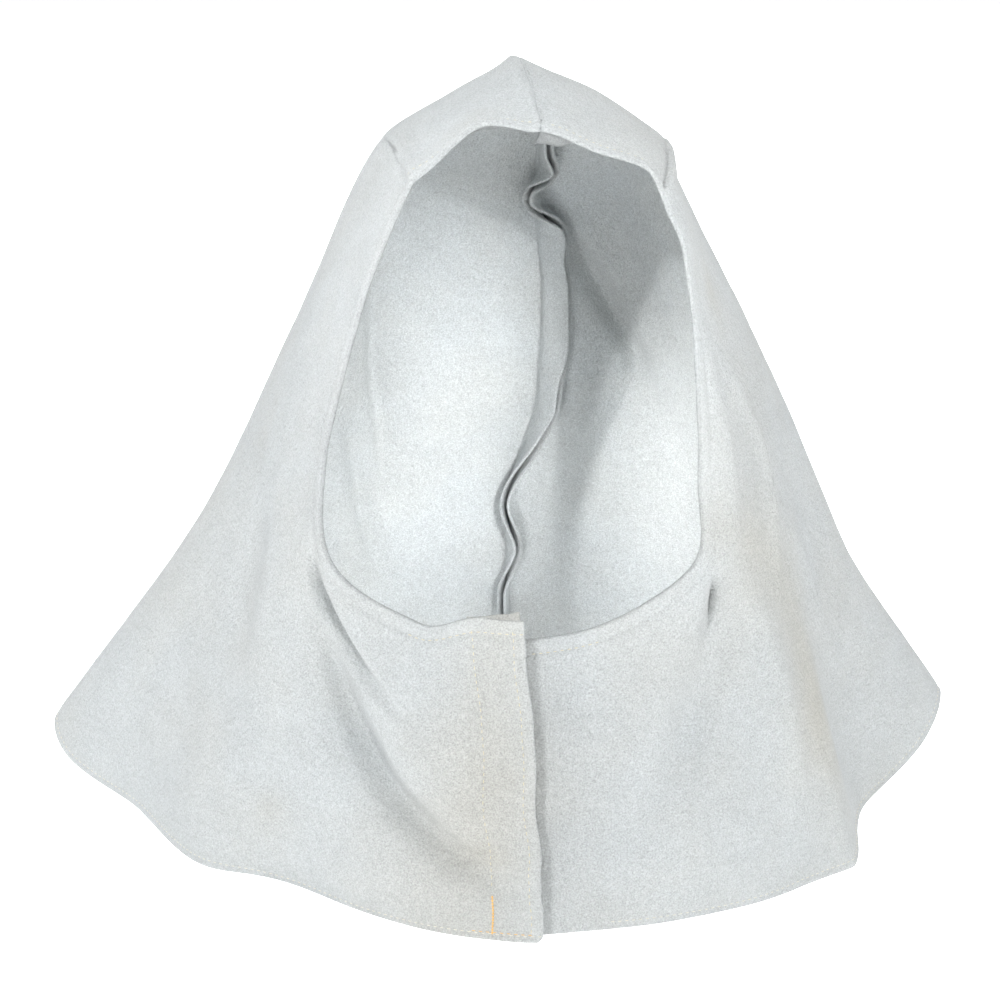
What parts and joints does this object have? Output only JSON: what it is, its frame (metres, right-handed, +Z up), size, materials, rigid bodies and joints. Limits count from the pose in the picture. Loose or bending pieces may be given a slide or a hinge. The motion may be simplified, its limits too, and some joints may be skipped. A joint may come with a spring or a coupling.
{
  "type": "leather welding hood",
  "caption": "Pale grey split-leather welder's hood with an open face, a crown and back seam and a flared shoulder cape lapped at the front; it protects head, neck and shoulders.",
  "frame": {"origin": "middle of the hood's box, on the surface that the hem stands on", "axes": "+Z up, -Y out of the face opening, +X to the viewer's right from the front"},
  "size_m": [0.4716, 0.3192, 0.3803],
  "materials": {
    "left_leather": "rough pale grey suede",
    "right_leather": "rough pale grey suede",
    "facing_leather": "rough warm grey suede"
  },
  "bodies": {
    "root": {"left_half": "left_leather", "right_half": "right_leather", "placket_facing": "facing_leather"}
  },
  "joints": []
}
